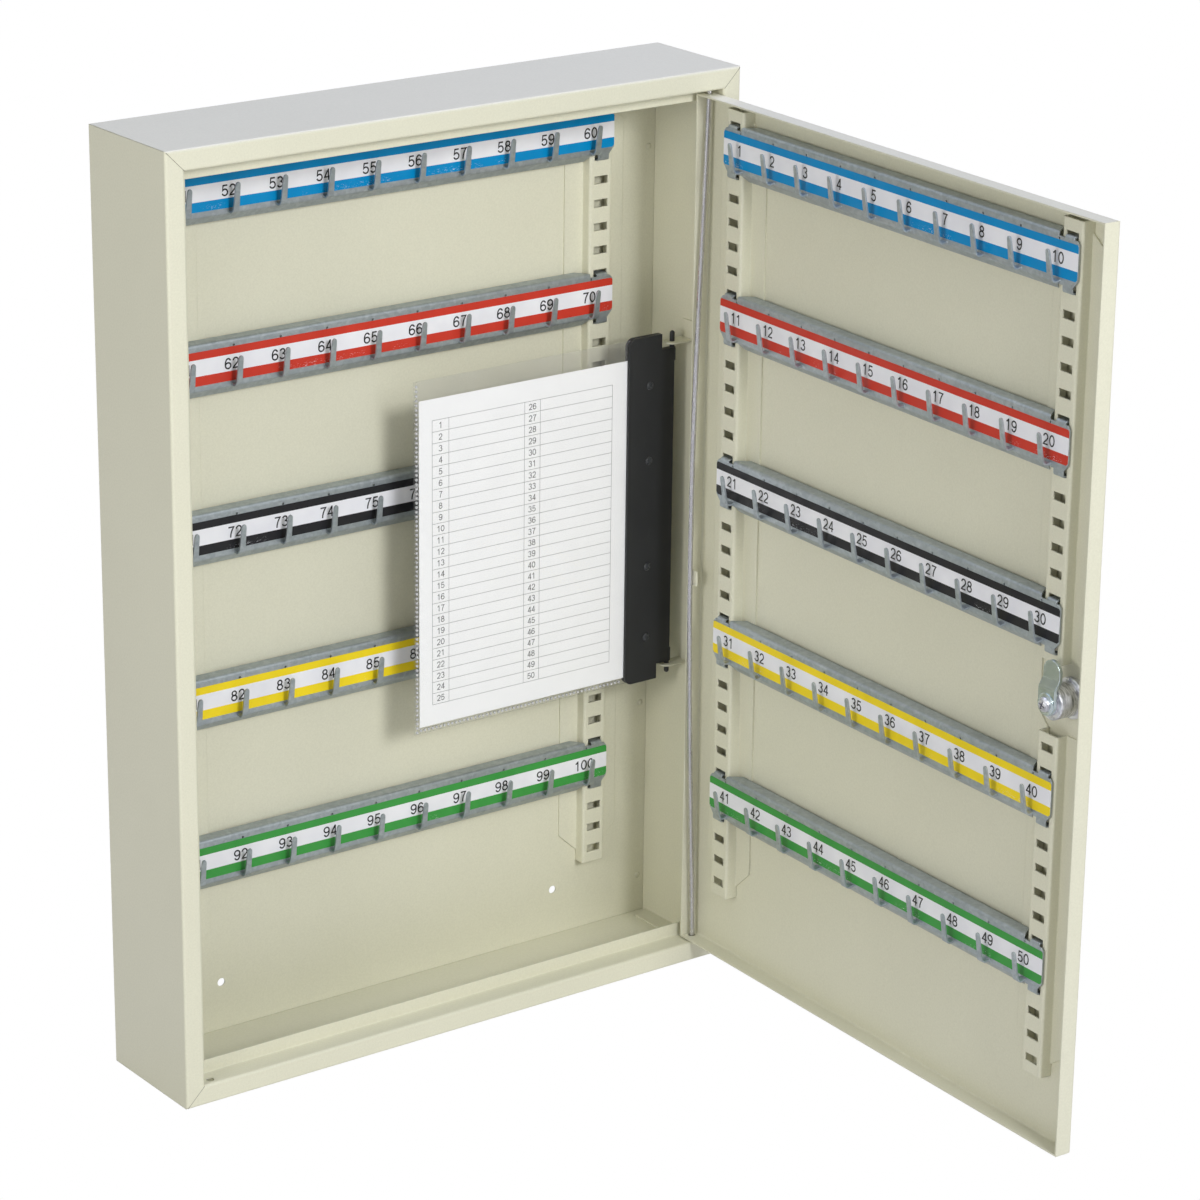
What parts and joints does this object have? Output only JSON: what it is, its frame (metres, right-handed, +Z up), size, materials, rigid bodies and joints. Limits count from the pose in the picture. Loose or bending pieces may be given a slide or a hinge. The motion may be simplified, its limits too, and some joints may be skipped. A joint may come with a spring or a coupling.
{
  "type": "key cabinet",
  "caption": "Wall-mounted steel key cabinet with an inset locking door, slotted rails that carry hook bars with coloured labels, and a swinging index pocket.",
  "frame": {"origin": "centre of the four wall fixing holes, on the rear face of the back panel; the body's rear flanges lie against the wall 1 mm behind it", "axes": "+X to the right seen from the front, +Y into the wall, +Z up"},
  "size_m": [0.38, 0.4227, 0.55],
  "materials": {
    "cream_paint": "fine textured powder coat, satin",
    "galvanised_steel": "galvanised sheet, dull spangle",
    "label_blue": "printed film label, satin",
    "label_red": "printed film label, satin",
    "label_black": "printed film label, satin",
    "label_yellow": "printed film label, satin",
    "label_green": "printed film label, satin",
    "bright_zinc": "bright zinc plated wire",
    "lock_chrome": "chrome plated die casting",
    "cam_zinc": "zinc plated pressing",
    "black_plastic": "moulded, satin black",
    "clear_film": "clear soft film",
    "index_paper": "white paper, printed table",
    "wafer_brass": "stamped brass",
    "spring_steel": "spring wire"
  },
  "bodies": {
    "cabinet": {"left_side": "cream_paint", "right_side": "cream_paint", "top_panel": "cream_paint", "bottom_panel": "cream_paint", "back_panel": "cream_paint", "cabinet_rail_left": "cream_paint", "cabinet_rail_right": "cream_paint", "cabinet_bar_1": "galvanised_steel", "cabinet_bar_2": "galvanised_steel", "cabinet_bar_3": "galvanised_steel", "cabinet_bar_4": "galvanised_steel", "cabinet_bar_5": "galvanised_steel", "cabinet_label_1": "label_blue", "cabinet_label_2": "label_red", "cabinet_label_3": "label_black", "cabinet_label_4": "label_yellow", "cabinet_label_5": "label_green", "index_bracket_upper": "cream_paint", "index_bracket_lower": "cream_paint"},
    "door": {"door_panel": "cream_paint", "door_rail_hinge_side": "cream_paint", "door_rail_lock_side": "cream_paint", "hinge_rod": "bright_zinc", "door_bar_1": "galvanised_steel", "door_bar_2": "galvanised_steel", "door_bar_3": "galvanised_steel", "door_bar_4": "galvanised_steel", "door_bar_5": "galvanised_steel", "door_label_1": "label_blue", "door_label_2": "label_red", "door_label_3": "label_black", "door_label_4": "label_yellow", "door_label_5": "label_green", "lock_housing": "lock_chrome", "lock_nut": "lock_chrome"},
    "lock_core": {"lock_plug": "lock_chrome", "lock_cam": "cam_zinc", "cam_washer": "cam_zinc", "cam_screw": "cam_zinc", "wafer_spring_1": "spring_steel", "wafer_spring_2": "spring_steel", "wafer_spring_3": "spring_steel", "wafer_spring_4": "spring_steel"},
    "index_page": {"index_strip": "black_plastic", "index_rivets": "black_plastic", "index_pins": "black_plastic", "index_pocket": "clear_film", "index_sheet": "index_paper"},
    "wafer_one": {"wafer_1": "wafer_brass"},
    "wafer_two": {"wafer_2": "wafer_brass"},
    "wafer_three": {"wafer_3": "wafer_brass"},
    "wafer_four": {"wafer_4": "wafer_brass"}
  },
  "joints": [
    {"name": "door_swing", "type": "hinge", "parent": "cabinet", "child": "door", "pos_m": [0.1716, -0.0737, 0], "axis": [0, 0, 1], "range_deg": [-88, 12]},
    {"name": "lock_turn", "type": "hinge", "parent": "door", "child": "lock_core", "pos_m": [0.15732, -0.4053, -0.0015], "axis": [-0.9994, 0.0349, 0], "range_deg": [-90, 0]},
    {"name": "index_swing", "type": "hinge", "parent": "cabinet", "child": "index_page", "pos_m": [0.1768, -0.0365, 0], "axis": [0, 0, 1], "range_deg": [-5, 65]},
    {"name": "wafer_one_slide", "type": "slide", "parent": "lock_core", "child": "wafer_one", "axis": [0, 0, 1], "range_m": [0, 0.00085], "stiffness_N_per_m": 20, "springref_m": 0.0015, "deforming": ["wafer_spring_1"]},
    {"name": "wafer_two_slide", "type": "slide", "parent": "lock_core", "child": "wafer_two", "axis": [0, 0, -1], "range_m": [0, 0.00085], "stiffness_N_per_m": 20, "springref_m": 0.0015, "deforming": ["wafer_spring_2"]},
    {"name": "wafer_three_slide", "type": "slide", "parent": "lock_core", "child": "wafer_three", "axis": [0, 0, 1], "range_m": [0, 0.00085], "stiffness_N_per_m": 20, "springref_m": 0.0015, "deforming": ["wafer_spring_3"]},
    {"name": "wafer_four_slide", "type": "slide", "parent": "lock_core", "child": "wafer_four", "axis": [0, 0, -1], "range_m": [0, 0.00085], "stiffness_N_per_m": 20, "springref_m": 0.0015, "deforming": ["wafer_spring_4"]}
  ]
}
